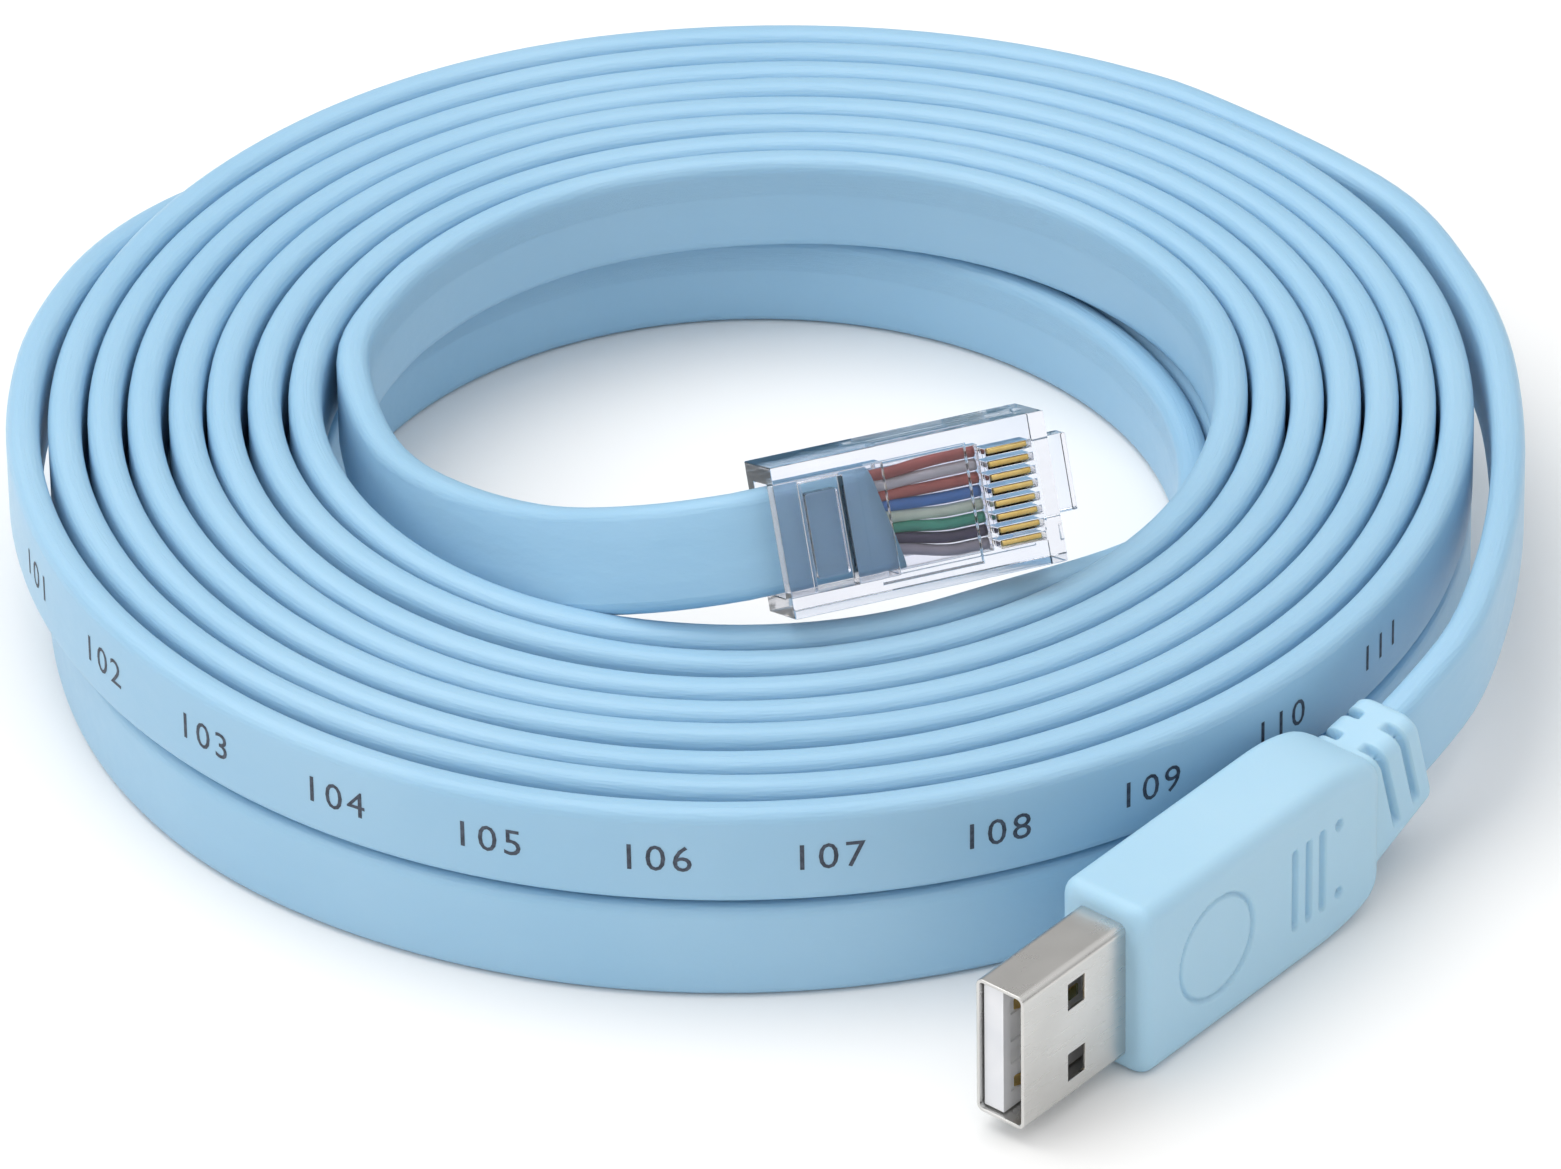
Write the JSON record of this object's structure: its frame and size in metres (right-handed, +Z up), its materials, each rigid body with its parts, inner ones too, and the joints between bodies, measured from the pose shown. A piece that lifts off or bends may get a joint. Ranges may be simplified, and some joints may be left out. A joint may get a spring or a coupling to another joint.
{
  "type": "rj45 console cable",
  "caption": "Flat console cable wound on edge into a low two-tier coil, with a USB-A plug on the outer end and a clear RJ45 plug on the inner end.",
  "frame": {"origin": "middle of the object's box, on the floor that the coil lies on", "axes": "+Z up along the coil's axis, the USB plug lies at the -Y side and points to -X and -Y"},
  "size_m": [0.1176, 0.1328, 0.0296],
  "materials": {
    "cable_jacket": "satin light blue PVC",
    "usb_overmould": "satin light blue moulded PVC",
    "usb_shell": "satin nickel plated steel",
    "usb_tongue": "white moulded plastic",
    "contacts": "gold plated",
    "rj45_body": "clear polycarbonate",
    "wire_brown_red": "wire insulation",
    "wire_light_grey": "wire insulation",
    "wire_red_brown": "wire insulation",
    "wire_blue": "wire insulation",
    "wire_pale_green": "wire insulation",
    "wire_green": "wire insulation",
    "wire_dark_purple": "wire insulation",
    "wire_grey_lilac": "wire insulation"
  },
  "bodies": {
    "root": {"cable_coil": "cable_jacket", "usb_lead": "cable_jacket", "rj45_lead": "cable_jacket", "usb_shell": "usb_shell", "usb_tongue": "usb_tongue", "usb_contact_1": "contacts", "usb_contact_2": "contacts", "usb_contact_3": "contacts", "usb_contact_4": "contacts", "usb_overmould": "usb_overmould", "rj45_body": "rj45_body", "rj45_contact_1": "contacts", "rj45_contact_2": "contacts", "rj45_contact_3": "contacts", "rj45_contact_4": "contacts", "rj45_contact_5": "contacts", "rj45_contact_6": "contacts", "rj45_contact_7": "contacts", "rj45_contact_8": "contacts", "rj45_wire_1": "wire_brown_red", "rj45_wire_2": "wire_light_grey", "rj45_wire_3": "wire_red_brown", "rj45_wire_4": "wire_blue", "rj45_wire_5": "wire_pale_green", "rj45_wire_6": "wire_green", "rj45_wire_7": "wire_dark_purple", "rj45_wire_8": "wire_grey_lilac"}
  },
  "joints": []
}
